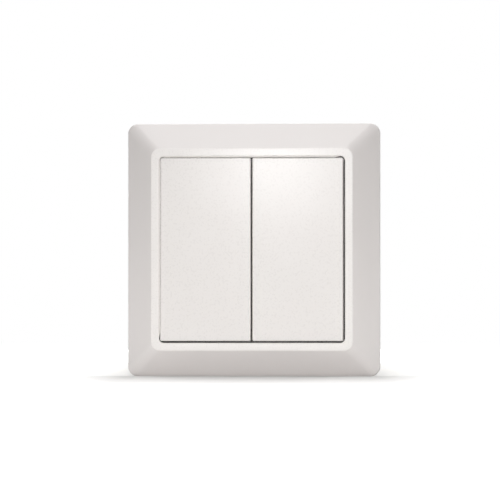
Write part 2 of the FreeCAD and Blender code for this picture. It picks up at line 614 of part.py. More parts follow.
# Rocker: a thin-walled cap. Ribs stiffen its face, two ears carry stub axles that snap into the inner
# frame's bearings, and two posts press the push contacts.

def build_rocker(label, side):
    body = new_body(label)
    middle = f"{side}Layout.rocker_centre"
    cap = new_sketch(body, label + "_cap", "Layout.skirt_level")
    rounded_box(cap, "Sizes.rocker_width", "Sizes.rocker_height", "Sizes.rocker_corner", middle)
    cap_pad = pad(body, label + "_cap_pad", cap, "Layout.rocker_face - Layout.skirt_level")
    edges = edges_at_level(cap_pad, "Layout.rocker_face")
    edge_round(body, label + "_face_round", cap_pad, edges, "Sizes.rocker_edge")
    hollow = new_sketch(body, label + "_hollow", "Layout.skirt_level")
    rounded_box(hollow, "Sizes.rocker_width - 2 * Sizes.rocker_skirt",
                "Sizes.rocker_height - 2 * Sizes.rocker_skirt", "Sizes.rocker_corner", middle)
    pocket(body, label + "_hollow_cut", hollow, "Layout.rocker_under - Layout.skirt_level", outward=True)

    # Ribs under the face: one along the rocker at each side of the middle, and crossing ones.
    rib_half = "Sizes.rib_thickness / 2"
    rib_level = "Layout.rocker_under - Sizes.rib_depth"
    rib_length = "Sizes.rib_depth + Sizes.rocker_skin / 2"
    inner_x = "(Sizes.rocker_width / 2 - Sizes.rocker_skirt / 2)"
    inner_y = "(Sizes.rocker_height / 2 - Sizes.rocker_skirt / 2)"
    long_rib = new_sketch(body, label + "_long_rib", rib_level)
    box(long_rib, f"{middle} - {rib_half}", f"-{inner_y}", f"{middle} + {rib_half}", f"{inner_y}")
    pad(body, label + "_long_rib_pad", long_rib, rib_length)
    for name in ("near", "far"):
        cross_rib = new_sketch(body, f"{label}_{name}_rib", rib_level)
        place = f"Sizes.{name}_rib_place"
        box(cross_rib, f"{middle} - {inner_x}", f"{place} - {rib_half}",
            f"{middle} + {inner_x}", f"{place} + {rib_half}")
        cross_pad = pad(body, f"{label}_{name}_rib_pad", cross_rib, rib_length)
        mirrored(body, f"{label}_{name}_ribs", [cross_pad], "XZ_Plane")

    # Hinge ears with their stub axles.
    for name, sign in (("outer", "+"), ("inner", "-")):
        ear_middle = f"{middle} {sign} (Sizes.axle_offset - Sizes.ear_thickness / 2)"
        ear = new_sketch(body, f"{label}_{name}_ear", ear_middle, "YZ_Plane")
        ear_outline(ear)
        pad(body, f"{label}_{name}_ear_pad", ear, "Sizes.ear_thickness", both_ways=True)
        axle_middle = f"{middle} {sign} (Sizes.axle_offset + Sizes.axle_reach / 2 - Sizes.ear_thickness / 4)"
        axle = new_sketch(body, f"{label}_{name}_axle", axle_middle, "YZ_Plane")
        disc(axle, "Sizes.axle_radius", "0", "Layout.axle_level")
        axle_length = "Sizes.axle_reach + Sizes.ear_thickness / 2"
        pad(body, f"{label}_{name}_axle_pad", axle, axle_length, both_ways=True)

    # Posts of cross section that press the plungers.
    post_level = "Layout.plunger_tip + Sizes.running_clearance * 2"
    reach = "Sizes.actuator_radius"
    blade = "Sizes.rib_thickness / 2"
    post = new_sketch(body, label + "_press_post", post_level)
    cross = [(blade, reach), (blade, blade), (reach, blade), (reach, f"-{blade}"), (blade, f"-{blade}"),
             (blade, f"-{reach}"), (f"-{blade}", f"-{reach}"), (f"-{blade}", f"-{blade}"),
             (f"-{reach}", f"-{blade}"), (f"-{reach}", blade), (f"-{blade}", blade), (f"-{blade}", reach)]
    outline(post, [(f"{middle} + {x}", f"Sizes.actuator_arm + {y}") for x, y in cross])
    post_pad = pad(body, label + "_press_post_pad", post,
                   f"Layout.rocker_under + Sizes.rocker_skin / 2 - ({post_level})")
    mirrored(body, label + "_press_posts", [post_pad], "XZ_Plane")
    return body


def ear_outline(sketch):
    """Ear seen from its side: wide at the rocker's face, round about the axle at its end."""
    root = value("Sizes.ear_half_width")
    level = value("Layout.axle_level")
    top = value("Layout.rocker_under + Sizes.rocker_skin / 2")
    radius = value("Sizes.axle_radius")
    left_root = FreeCAD.Vector(-root, top, 0)
    right_root = FreeCAD.Vector(root, top, 0)
    left_end = FreeCAD.Vector(-radius, level, 0)
    right_end = FreeCAD.Vector(radius, level, 0)
    sketch.addGeometry(Part.LineSegment(right_root, left_root), False)
    sketch.addGeometry(Part.LineSegment(left_root, left_end), False)
    circle = Part.Circle(FreeCAD.Vector(0, level, 0), OUTWARD, radius)
    sketch.addGeometry(Part.ArcOfCircle(circle, math.pi, 2 * math.pi), False)
    sketch.addGeometry(Part.LineSegment(right_end, right_root), False)
    for index in range(4):
        sketch.addConstraint(Sketcher.Constraint("Coincident", index, 2, (index + 1) % 4, 1))
    sketch.addConstraint(Sketcher.Constraint("Symmetric", 0, 1, 0, 2, -2))
    sketch.addConstraint(Sketcher.Constraint("PointOnObject", 2, 3, -2))
    sketch.addConstraint(Sketcher.Constraint("Horizontal", 2, 1, 2, 3))
    sketch.addConstraint(Sketcher.Constraint("Horizontal", 2, 2, 2, 3))
    drive(sketch, "DistanceX", (-1, 1, 0, 1), "Sizes.ear_half_width")
    drive(sketch, "DistanceY", (-1, 1, 0, 1), "Layout.rocker_under + Sizes.rocker_skin / 2")
    drive(sketch, "DistanceY", (-1, 1, 2, 3), "Layout.axle_level")
    drive(sketch, "Radius", (2,), "Sizes.axle_radius")


# Circuit board: square board with cut corners, screwed flat against the back of the inner frame's floor.

def build_circuit_board():
    body = new_body("circuit_board")
    board = new_sketch(body, "board_outline", "Sizes.board_level")
    corner = "Sizes.window_corner"
    half_x, half_y = "Layout.board_width / 2", "Layout.board_height / 2"
    quarter = [(half_x, f"{half_y} - {corner}"), (f"{half_x} - {corner}", half_y)]
    outline(board, quarter + [(f"-({x})", y) for x, y in reversed(quarter)]
            + [(f"-({x})", f"-({y})") for x, y in quarter] + [(x, f"-({y})") for x, y in reversed(quarter)])
    pad(body, "board", board, "Sizes.board_thickness")
    hole = new_sketch(body, "screw_hole", "Layout.board_front")
    disc(hole, "Sizes.screw_radius + 2 * Sizes.running_clearance", "Layout.screw_across", "Layout.screw_up")
    hole_cut = pocket(body, "screw_hole_cut", hole, "Sizes.board_thickness")
    mirrored_both_ways(body, "screw_holes", [hole_cut])

    # Notches that clear the snap hooks' windows, so that the hooks can spring inwards.
    notch = new_sketch(body, "hook_notch", "Layout.board_front")
    box(notch, "Layout.board_width / 2 - Sizes.hook_catch",
        "Sizes.hook_position - Sizes.hook_width / 2 - 2 * Sizes.hook_clearance",
        "Layout.board_width / 2 + Sizes.board_clearance",
        "Sizes.hook_position + Sizes.hook_width / 2 + 2 * Sizes.hook_clearance")
    notch_cut = pocket(body, "hook_notch_cut", notch, "Sizes.board_thickness")
    mirrored_both_ways(body, "hook_notches", [notch_cut])
    return body


# Board screws: four self-tapping screws with flat heads.

def build_board_screws():
    body = new_body("board_screws")
    body.AllowCompound = True
    shank_length = "Sizes.board_thickness + Sizes.floor_thickness + Sizes.boss_height"
    head = new_sketch(body, "screw_head", "Sizes.board_level - Sizes.screw_head_height")
    disc(head, "Sizes.screw_head_radius", "Layout.screw_across", "Layout.screw_up")
    head_pad = pad(body, "screw_head_pad", head, "Sizes.screw_head_height")
    shank = new_sketch(body, "screw_shank", "Sizes.board_level")
    disc(shank, "Sizes.screw_radius", "Layout.screw_across", "Layout.screw_up")
    shank_pad = pad(body, "screw_shank_pad", shank, shank_length)
    mirrored_both_ways(body, "four_screws", [head_pad, shank_pad])
    return body


# Push contacts: moulded base soldered to the board, thin steel cover, and a plunger whose square flange
# slides in the base's square well.

def build_switch_base(label, middle, arm):
    body = new_body(label)
    base = new_sketch(body, label + "_block", "Layout.board_front")
    square(base, "Sizes.switch_width", middle, arm)
    pad(body, label + "_block_pad", base, "Sizes.switch_base_height")
    well = new_sketch(body, label + "_well", "Layout.base_top")
    square(well, "2 * (Sizes.plunger_radius + Sizes.plunger_flange + 2 * Sizes.running_clearance)", middle, arm)
    pocket(body, label + "_well_cut", well, "Sizes.switch_well_depth")
    return body


def build_switch_cover(label, middle, arm):
    body = new_body(label)
    cover = new_sketch(body, label + "_sheet", "Layout.base_top")
    square(cover, "Sizes.switch_width", middle, arm)
    disc(cover, "Sizes.plunger_radius + Sizes.running_clearance", middle, arm)
    pad(body, label + "_sheet_pad", cover, "Sizes.switch_cover_thickness")
    return body


def build_switch_plunger(label, middle, arm):
    body = new_body(label)
    flange_top = "(Layout.base_top - Layout.press_travel - Sizes.running_clearance)"
    flange_height = "Sizes.plunger_flange_height"
    flange = new_sketch(body, label + "_flange", f"{flange_top} - {flange_height}")
    square(flange, "2 * (Sizes.plunger_radius + Sizes.plunger_flange)", middle, arm)
    pad(body, label + "_flange_pad", flange, flange_height)
    stem = new_sketch(body, label + "_stem", flange_top)
    disc(stem, "Sizes.plunger_radius", middle, arm)
    pad(body, label + "_stem_pad", stem, f"Layout.plunger_tip - {flange_top}")
    return body


# Coin cell, its contact plate and the bent strap that holds it, all on the back of the board.

def build_coin_cell():
    body = new_body("coin_cell")
    can = new_sketch(body, "can", "Layout.cell_back")
    disc(can, "Sizes.cell_radius", "0", "Sizes.cell_offset")
    pad(body, "can_pad", can, "Sizes.cell_height - Sizes.lid_height")
    lid = new_sketch(body, "lid", "Layout.cell_top - Sizes.lid_height")
    disc(lid, "Sizes.lid_radius", "0", "Sizes.cell_offset")
    pad(body, "lid_pad", lid, "Sizes.lid_height")
    return body


def build_battery_contact():
    body = new_body("battery_contact")
    pad_sketch = new_sketch(body, "contact_outline", "Layout.cell_top")
    square(pad_sketch, "Sizes.contact_width", "0", "Sizes.cell_offset")
    pad(body, "contact_sheet", pad_sketch, "Sizes.contact_thickness")
    return body


def build_battery_clip():
    body = new_body("battery_clip")
    clear = "(Sizes.cell_radius + Sizes.clip_thickness)"
    outside = f"({clear} + Sizes.clip_thickness)"
    foot = f"({outside} + Sizes.clip_foot)"
    crown = "(Layout.cell_back - Sizes.clip_thickness)"
    sole = "(Sizes.board_level - Sizes.clip_thickness)"
    strap = new_sketch(body, "strap", "-Sizes.cell_offset", "XZ_Plane")
    right = [
        (clear, "Layout.cell_back"),
        (clear, "Sizes.board_level"),
        (foot, "Sizes.board_level"),
        (foot, sole),
        (outside, sole),
        (outside, crown),
    ]
    left = [(f"-{x}", y) for x, y in reversed(right)]
    outline(strap, right + left)
    strap_pad = pad(body, "strap_pad", strap, "Sizes.clip_width", both_ways=True)
    doc.recompute()
    bends = []
    for index, edge in enumerate(strap_pad.Shape.Edges, start=1):
        bounds = edge.BoundBox
        at_crown = abs(bounds.ZMin - value(crown)) < 1e-4 and abs(bounds.ZMax - value(crown)) < 1e-4
        if at_crown and bounds.YLength > bounds.XLength:
            bends.append(f"Edge{index}")
    edge_round(body, "strap_bends", strap_pad, bends, "Sizes.clip_bend")
    return body


# Small parts soldered to the back of the board, below the cell.

def build_chip(label, length, width, height, middle_x, middle_y):
    body = new_body(label)
    plan = new_sketch(body, label + "_outline", f"Sizes.board_level - {height}")
    box(plan, f"{middle_x} - {length} / 2", f"{middle_y} - {width} / 2",
        f"{middle_x} + {length} / 2", f"{middle_y} + {width} / 2")
    pad(body, label + "_pad", plan, height)
    return body


def build_capacitors():
    """A row of small chip capacitors, each a separate block."""
    body = new_body("capacitors")
    body.AllowCompound = True
    block = new_sketch(body, "capacitor_outline", "Sizes.board_level - Sizes.capacitor_height")
    box(block, "Sizes.capacitor_place - Sizes.capacitor_width / 2",
        "-Sizes.chip_offset - Sizes.capacitor_length / 2",
        "Sizes.capacitor_place + Sizes.capacitor_width / 2",
        "-Sizes.chip_offset + Sizes.capacitor_length / 2")
    block_pad = pad(body, "capacitor_pad", block, "Sizes.capacitor_height")
    row_of_blocks = body.newObject("PartDesign::LinearPattern", "capacitor_row")
    row_of_blocks.Originals = [block_pad]
    row_of_blocks.Direction = (block, ["H_Axis"])
    row_of_blocks.setExpression("Length", "(Sizes.capacitor_count - 1) * Sizes.capacitor_pitch")
    row_of_blocks.setExpression("Occurrences", "Sizes.capacitor_count")
    body.Tip = row_of_blocks
    return body


# Aerial: a stiff wire bent twice, that rises from the board, runs across it and goes back into it.

def build_antenna_wire():
    body = new_body("antenna_wire")
    half = "Sizes.aerial_length / 2"
    run_level = "Sizes.board_level - Sizes.aerial_rise"
    up = "-(Layout.board_height / 2 - Sizes.screw_inset)"
    path = new_sketch(body, "aerial_path", f"-({up})", "XZ_Plane")
    route = [(f"-{half}", "Sizes.board_level"), (f"-{half}", run_level),
             (half, run_level), (half, "Sizes.board_level")]
    points = [FreeCAD.Vector(value(x), value(y), 0) for x, y in route]
    for index in range(3):
        path.addGeometry(Part.LineSegment(points[index], points[index + 1]), False)
    path.addConstraint(Sketcher.Constraint("Coincident", 0, 2, 1, 1))
    path.addConstraint(Sketcher.Constraint("Coincident", 1, 2, 2, 1))
    path.addConstraint(Sketcher.Constraint("Vertical", 0))
    path.addConstraint(Sketcher.Constraint("Horizontal", 1))
    path.addConstraint(Sketcher.Constraint("Vertical", 2))
    drive(path, "DistanceX", (-1, 1, 0, 1), f"-{half}")
    drive(path, "DistanceY", (-1, 1, 0, 1), "Sizes.board_level")
    drive(path, "DistanceY", (-1, 1, 1, 1), run_level)
    drive(path, "DistanceX", (-1, 1, 2, 2), half)
    drive(path, "DistanceY", (-1, 1, 2, 2), "Sizes.board_level")
    section = new_sketch(body, "aerial_section", "Sizes.board_level")
    disc(section, "Sizes.aerial_radius", f"-{half}", up)
    wire = body.newObject("PartDesign::AdditivePipe", "aerial_pipe")
    wire.Profile = section
    wire.Spine = (path, [])
    wire.Transition = "Right corner"
    return body


build_bezel_frame()
build_back_plate()
build_inner_frame()
build_rocker("rocker_left", "-")
build_rocker("rocker_right", "")
build_circuit_board()
build_board_screws()
for side_name, side_sign in (("left", "-"), ("right", "")):
    for end_name, end_sign in (("upper", ""), ("lower", "-")):
        place_x = f"{side_sign}Layout.rocker_centre"
        place_y = f"{end_sign}Sizes.actuator_arm"
        build_switch_base(f"switch_base_{side_name}_{end_name}", place_x, place_y)
        build_switch_cover(f"switch_cover_{side_name}_{end_name}", place_x, place_y)
        build_switch_plunger(f"switch_plunger_{side_name}_{end_name}", place_x, place_y)
build_coin_cell()
build_battery_contact()
build_battery_clip()
build_chip("radio_chip", "Sizes.chip_width", "Sizes.chip_width", "Sizes.chip_height",
           "-Sizes.chip_offset", "-Sizes.chip_offset")
build_chip("crystal", "Sizes.crystal_length", "Sizes.crystal_width", "Sizes.crystal_height",
           "-Sizes.crystal_place", "-Sizes.chip_offset")
build_capacitors()
build_antenna_wire()
doc.recompute()

# Every object must be sound before anything is written.
for item in doc.Objects:
    if "Invalid" in item.State or "Error" in item.State:
        raise RuntimeError(f"{item.Name} is {item.State}")
parts = [item for item in doc.Objects if item.TypeId == "PartDesign::Body"]
for part in parts:
    if part.Shape.isNull() or not part.Shape.isValid():
        raise RuntimeError(f"{part.Label} has no valid shape")
for item in doc.Objects:
    if item.TypeId == "PartDesign::Pocket" and item.BaseFeature:
        if item.Shape.Volume > item.BaseFeature.Shape.Volume - 0.001:
            raise RuntimeError(f"{item.Name} cuts nothing")

os.makedirs("parts", exist_ok=True)
for part in parts:
    part.Shape.exportStep(os.path.join("parts", part.Label + ".step"))
    print(part.Label, len(part.Shape.Solids), round(part.Shape.Volume, 2))
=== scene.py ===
import math
import bpy
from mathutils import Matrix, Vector


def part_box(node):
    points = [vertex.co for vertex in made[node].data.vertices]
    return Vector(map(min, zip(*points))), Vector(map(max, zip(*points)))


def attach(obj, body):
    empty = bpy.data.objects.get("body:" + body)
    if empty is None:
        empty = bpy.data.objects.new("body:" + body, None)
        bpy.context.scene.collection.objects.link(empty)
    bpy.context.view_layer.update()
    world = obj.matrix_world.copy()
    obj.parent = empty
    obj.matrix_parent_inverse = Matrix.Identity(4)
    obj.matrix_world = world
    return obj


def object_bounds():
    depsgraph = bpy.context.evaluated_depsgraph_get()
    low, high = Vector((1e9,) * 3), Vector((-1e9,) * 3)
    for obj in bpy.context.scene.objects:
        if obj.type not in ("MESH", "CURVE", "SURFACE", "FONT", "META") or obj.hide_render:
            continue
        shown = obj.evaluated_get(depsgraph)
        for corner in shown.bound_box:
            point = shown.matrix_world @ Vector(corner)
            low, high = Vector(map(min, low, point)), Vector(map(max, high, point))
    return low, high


# Wireless remote wall switch with two rockers in a bevelled square frame. It faces -Y with +Z up.
# Every length is in metres, in the frame that the construction was packed in.

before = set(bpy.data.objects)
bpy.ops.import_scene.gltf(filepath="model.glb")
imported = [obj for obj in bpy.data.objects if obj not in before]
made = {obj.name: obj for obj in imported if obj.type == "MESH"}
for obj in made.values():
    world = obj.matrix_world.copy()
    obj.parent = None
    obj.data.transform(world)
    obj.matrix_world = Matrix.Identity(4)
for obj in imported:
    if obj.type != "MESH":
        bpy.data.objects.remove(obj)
solid_low, solid_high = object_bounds()


# Bezel frame: the bevelled square round the switch. It is moulded in white ABS from a mould with a
# fine satin etch, is held by the inner frame's flange, and rests on the wall.

def screen_colour(red, green, blue):
    """The shader's colour for one that a screen shows with these sRGB levels from 0 to 255."""
    levels = []
    for level in (red, green, blue):
        share = level / 255
        levels.append(share / 12.92 if share <= 0.04045 else ((share + 0.055) / 1.055) ** 2.4)
    return (*levels, 1.0)


def shader_of(finish):
    """The shader that gives a finish its colour, gloss and relief."""
    return finish.node_tree.nodes["Principled BSDF"]


def new_finish(name, colour, roughness):
    """A material whose shader carries the finish's even colour and roughness."""
    finish = bpy.data.materials.new(name)
    finish.use_nodes = True
    shader_of(finish).inputs["Base Color"].default_value = colour
    shader_of(finish).inputs["Roughness"].default_value = roughness
    return finish


def place_on_piece(finish):
    """Where a point lies on its piece, in metres, however the piece moves."""
    nodes = finish.node_tree.nodes
    if "Place" not in nodes:
        nodes.new("ShaderNodeTexCoord").name = "Place"
    return nodes["Place"].outputs["Object"]


def grain(finish, size, detail=2.0):
    """Cloudy pattern from 0 to 1 whose spots are about one size across."""
    share_of_finer_spots = 0.55
    noise = finish.node_tree.nodes.new("ShaderNodeTexNoise")
    noise.inputs["Scale"].default_value = 1 / size
    noise.inputs["Detail"].default_value = detail
    noise.inputs["Roughness"].default_value = share_of_finer_spots
    finish.node_tree.links.new(place_on_piece(finish), noise.inputs["Vector"])
    return noise.outputs["Fac"]


def tint(finish, pattern, colour_low, colour_high):
    """Base colour that drifts between two colours with a pattern."""
    blend = finish.node_tree.nodes.new("ShaderNodeMix")
    blend.data_type = "RGBA"
    blend.inputs["A"].default_value = colour_low
    blend.inputs["B"].default_value = colour_high
    links = finish.node_tree.links
    links.new(pattern, blend.inputs["Factor"])
    links.new(blend.outputs["Result"], shader_of(finish).inputs["Base Color"])


def gloss(finish, pattern, shiny, dull):
    """Roughness that drifts between two values with a grain, which keeps mostly near its middle."""
    usual_low = 0.3
    usual_high = 0.7
    spread = finish.node_tree.nodes.new("ShaderNodeMapRange")
    spread.inputs["From Min"].default_value = usual_low
    spread.inputs["From Max"].default_value = usual_high
    spread.inputs["To Min"].default_value = shiny
    spread.inputs["To Max"].default_value = dull
    links = finish.node_tree.links
    links.new(pattern, spread.inputs["Value"])
    links.new(spread.outputs["Result"], shader_of(finish).inputs["Roughness"])


def relief(finish, pattern, depth, over=None):
    """Raises and sinks the surface by a pattern, over an earlier relief if there is one."""
    bump = finish.node_tree.nodes.new("ShaderNodeBump")
    bump.inputs["Strength"].default_value = 1.0
    bump.inputs["Distance"].default_value = depth
    links = finish.node_tree.links
    links.new(pattern, bump.inputs["Height"])
    if over is not None:
        links.new(over, bump.inputs["Normal"])
    links.new(bump.outputs["Normal"], shader_of(finish).inputs["Normal"])
    return bump.outputs["Normal"]


def moulded_plastic(name, colour, drift, roughness, etch_size, etch_depth):
    """White moulding: faint drift of colour, gloss that varies a little, and a coarse and a fine etch."""
    cloud_size = 0.014
    gloss_size = etch_size * 3
    gloss_drift = 0.015
    coarse_size = etch_size * 2.6
    coarse_depth = etch_depth * 1.6
    finish = new_finish(name, colour, roughness)
    tint(finish, grain(finish, cloud_size, detail=1.0), colour, drift)
    gloss(finish, grain(finish, gloss_size), roughness - gloss_drift, roughness + gloss_drift)
    coarse_etch = relief(finish, grain(finish, coarse_size, detail=1.0), coarse_depth)
    relief(finish, grain(finish, etch_size, detail=3.0), etch_depth, over=coarse_etch)
    return finish


bezel_finish = moulded_plastic(
    "bezel_satin_white",
    colour=screen_colour(237, 232, 230),
    drift=screen_colour(235, 230, 228),
    roughness=0.36,
    etch_size=0.00022,
    etch_depth=0.000006,
)


def dress(node, finish):
    """Gives one of the construction's pieces its finish."""
    piece = made[node]
    piece.data.materials.clear()
    piece.data.materials.append(finish)


dress("bezel_frame", bezel_finish)


# Inner frame: the carrier whose flange is the ring seen round the rockers. It is moulded in the same
# ABS from a smoother mould, and snaps over the four hooks of the back plate. Behind the white ring its
# colour is painted shade: dark grey that stands in for the shade deep in the gaps round the rockers.

ring_finish = moulded_plastic(
    "ring_satin_white",
    colour=screen_colour(246, 242, 239),
    drift=screen_colour(244, 240, 237),
    roughness=0.28,
    etch_size=0.00018,
    etch_depth=0.000003,
)

# Painted shade: a little behind the ring's face the colour turns dark grey, to darken the gaps round the
# rockers.
ring_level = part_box("inner_frame")[0].y
white_until = ring_level + 0.0010
gap_shade_from = ring_level + 0.0014
ring_nodes, ring_links = ring_finish.node_tree.nodes, ring_finish.node_tree.links
ring_colour = shader_of(ring_finish).inputs["Base Color"].links[0].from_socket
carrier_place = ring_nodes.new("ShaderNodeSeparateXYZ")
ring_links.new(place_on_piece(ring_finish), carrier_place.inputs["Vector"])
gap_shade_share = ring_nodes.new("ShaderNodeMapRange")
gap_shade_share.inputs["From Min"].default_value = white_until
gap_shade_share.inputs["From Max"].default_value = gap_shade_from
ring_links.new(carrier_place.outputs["Y"], gap_shade_share.inputs["Value"])
painted_gap_shade = ring_nodes.new("ShaderNodeMix")
painted_gap_shade.data_type = "RGBA"
painted_gap_shade.inputs["B"].default_value = screen_colour(40, 28, 26)
ring_links.new(gap_shade_share.outputs["Result"], painted_gap_shade.inputs["Factor"])
ring_links.new(ring_colour, painted_gap_shade.inputs["A"])
ring_links.new(painted_gap_shade.outputs["Result"], shader_of(ring_finish).inputs["Base Color"])
dress("inner_frame", ring_finish)


# Centring lip: a low rib of the same moulding with a soft nose, just under the edge of the ring's
# opening. It runs up the left wall and along the top one, and makes the rockers' gaps narrower there.
# In the corner it draws back, so that the rocker's corner can swing in past it.

side_gap = 0.0005
opening_half = side_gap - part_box("rocker_left")[0].x
opening_corner = 0.0015
left_reach = 0.00032
top_reach = 0.00042
corner_drawback = 0.75
lip_fade = 0.0018


def lip_path(steps=8):
    """Points along the opening's left and top walls: X, Z, the way inward and the reach there."""
    straight = opening_half - opening_corner
    path = []
    for step in range(steps + 1):
        along = -straight + lip_fade * step / steps
        path.append((-opening_half, along, 1.0, 0.0, left_reach * step / steps))
    for step in range(steps + 1):
        angle = math.radians(180 - 90 * step / steps)
        out_x, out_z = math.cos(angle), math.sin(angle)
        corner_x = -straight + opening_corner * out_x
        corner_z = straight + opening_corner * out_z
        reach = left_reach + (top_reach - left_reach) * step / steps
        reach *= 1 - corner_drawback * math.sin(math.pi * step / steps)
        path.append((corner_x, corner_z, -out_x, -out_z, reach))
    for step in range(steps + 1):
        along = straight - lip_fade + lip_fade * step / steps
        path.append((along, opening_half, 0.0, -1.0, top_reach * (1 - step / steps)))
    return path


# The rib's outline: a share of its reach, from a root inside the wall, and the depth under the ring.
lip_root = -0.0001
lip_outline = (
    (0.0, 0.00020), (0.60, 0.00022), (0.90, 0.00030), (1.00, 0.00045),
    (1.00, 0.00110), (0.75, 0.00150), (0.0, 0.00190),
)
lip_corners = []
for x, z, inward_x, inward_z, reach in lip_path():
    for share, depth in lip_outline:
        out = lip_root + (reach - lip_root) * share
        lip_corners.append((x + inward_x * out, ring_level + depth, z + inward_z * out))
outline_size = len(lip_outline)
last_outline = len(lip_corners) - outline_size
lip_faces = [
    tuple(range(outline_size)),
    tuple(reversed(range(last_outline, len(lip_corners)))),
]
for start in range(0, last_outline, outline_size):
    for spot in range(outline_size):
        here = start + spot
        beside = start + (spot + 1) % outline_size
        lip_faces.append((here, here + outline_size, beside + outline_size, beside))
lip_mesh = bpy.data.meshes.new("centring_lip")
lip_mesh.from_pydata(lip_corners, [], lip_faces)
for face in lip_mesh.polygons:
    face.use_smooth = True
centring_lip = bpy.data.objects.new("centring_lip", lip_mesh)
bpy.context.scene.collection.objects.link(centring_lip)
centring_lip.data.materials.append(ring_finish)
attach(centring_lip, "housing")


# Rockers: two thin-walled caps moulded in warm white ABS. Their faces come from a spark-eroded mould,
# which leaves an even matt grain that can be seen and felt. They snap in by stub axles.

rocker_finish = moulded_plastic(
    "rocker_grained_white",
    colour=screen_colour(240, 236, 233),
    drift=screen_colour(238, 233, 230),
    roughness=0.28,
    etch_size=0.00022,
    etch_depth=0.0000045,
)
for side in ("left", "right"):
    dress(f"rocker_{side}", rocker_finish)


# Back plate: flat moulding in unpainted, slightly greyer ABS, screwed to the wall through its slots.
# The mould's ejector pins leave sunk round marks on it, and its gate a small raised one in the middle.

def round_marks(finish, spots, radius, inside, outside):
    """Pattern with one value in a round mark at each X-Z spot and another value everywhere else."""
    edge_width = 0.00025
    nodes, links = finish.node_tree.nodes, finish.node_tree.links
    flat = nodes.new("ShaderNodeVectorMath")
    flat.operation = "MULTIPLY"
    flat.inputs[1].default_value = (1, 0, 1)
    links.new(place_on_piece(finish), flat.inputs[0])
    result = None
    for x, z in spots:
        away = nodes.new("ShaderNodeVectorMath")
        away.operation = "DISTANCE"
        away.inputs[1].default_value = (x, 0, z)
        links.new(flat.outputs["Vector"], away.inputs[0])
        mark = nodes.new("ShaderNodeMapRange")
        mark.inputs["From Min"].default_value = radius - edge_width
        mark.inputs["From Max"].default_value = radius
        mark.inputs["To Min"].default_value = inside
        mark.inputs["To Max"].default_value = outside
        links.new(away.outputs["Value"], mark.inputs["Value"])
        if result is None:
            result = mark.outputs["Result"]
        else:
            both = nodes.new("ShaderNodeMath")
            both.operation = "MINIMUM" if inside < outside else "MAXIMUM"
            links.new(result, both.inputs[0])
            links.new(mark.outputs["Result"], both.inputs[1])
            result = both.outputs["Value"]
    return result


edge_pins = 0.0300
middle_pins_across = 0.0125
middle_pins_up = 0.0110
middle_columns = (-middle_pins_across, middle_pins_across)
all_columns = (-edge_pins, *middle_columns, edge_pins)
pin_spots = [(x, z) for x in all_columns for z in (-edge_pins, edge_pins)]
pin_spots += [(x, z) for x in middle_columns for z in (-middle_pins_up, middle_pins_up)]
pin_radius = 0.0020
pin_depth = 0.00012
gate_spot = (0, 0)
gate_radius = 0.0011
gate_height = 0.00015

plate_finish = new_finish("plate_moulded_grey_white", screen_colour(226, 226, 222), roughness=0.48)
plate_clouds = grain(plate_finish, size=0.020)
tint(plate_finish, plate_clouds, screen_colour(227, 227, 224), screen_colour(221, 221, 217))
gloss(plate_finish, grain(plate_finish, size=0.006, detail=3.0), shiny=0.42, dull=0.56)
pins = round_marks(plate_finish, pin_spots, pin_radius, inside=0.0, outside=1.0)
pin_marks = relief(plate_finish, pins, pin_depth)
gate = round_marks(plate_finish, [gate_spot], gate_radius, inside=1.0, outside=0.0)
gate_mark = relief(plate_finish, gate, gate_height, over=pin_marks)
relief(plate_finish, grain(plate_finish, size=0.0005, detail=3.0), depth=0.00001, over=gate_mark)
dress("back_plate", plate_finish)


# Circuit board: glass-fibre laminate under green solder mask. The weave prints through the mask as a
# fine square relief. It is screwed flat against the inner frame's floor.

def woven(finish, pitch):
    """Square weave pattern from 0 to 1 with one thread to a pitch, across and up."""
    wave_turn = 20  # radians to a metre in the wave texture at a scale of 1
    nodes, links = finish.node_tree.nodes, finish.node_tree.links
    threads = []
    for direction in ("X", "Z"):
        wave = nodes.new("ShaderNodeTexWave")
        wave.bands_direction = direction
        wave.inputs["Scale"].default_value = 1 / (pitch * wave_turn) * math.tau
        links.new(place_on_piece(finish), wave.inputs["Vector"])
        threads.append(wave.outputs["Fac"])
    cross = nodes.new("ShaderNodeMath")
    cross.operation = "MULTIPLY"
    for thread, socket in zip(threads, cross.inputs):
        links.new(thread, socket)
    return cross.outputs["Value"]


thread_pitch = 0.0006
board_finish = new_finish("green_solder_mask", screen_colour(24, 92, 58), roughness=0.32)
weave = woven(board_finish, thread_pitch)
tint(board_finish, weave, screen_colour(20, 84, 52), screen_colour(31, 104, 66))
gloss(board_finish, grain(board_finish, size=0.002), shiny=0.26, dull=0.38)
relief(board_finish, weave, depth=0.000015)
dress("circuit_board", board_finish)


# Metal parts: nickel-plated steel for the contact covers, the strap and the plate under the coin cell,
# zinc-plated steel for the board screws, tinned copper wire for the aerial, and bright steel for the
# cans of the coin cell and the crystal.

def plated_metal(name, colour, drift, roughness, brush_size):
    """Plated sheet or wire, with the fine scratches that rolling and forming leave."""
    cloud_size = 0.004
    worn_size = brush_size * 4
    polished = roughness - 0.06
    worn = roughness + 0.08
    scratch_depth = 0.000004
    finish = new_finish(name, colour, roughness)
    shader_of(finish).inputs["Metallic"].default_value = 1.0
    tint(finish, grain(finish, cloud_size), colour, drift)
    gloss(finish, grain(finish, worn_size), polished, worn)
    relief(finish, grain(finish, brush_size, detail=3.0), scratch_depth)
    return finish


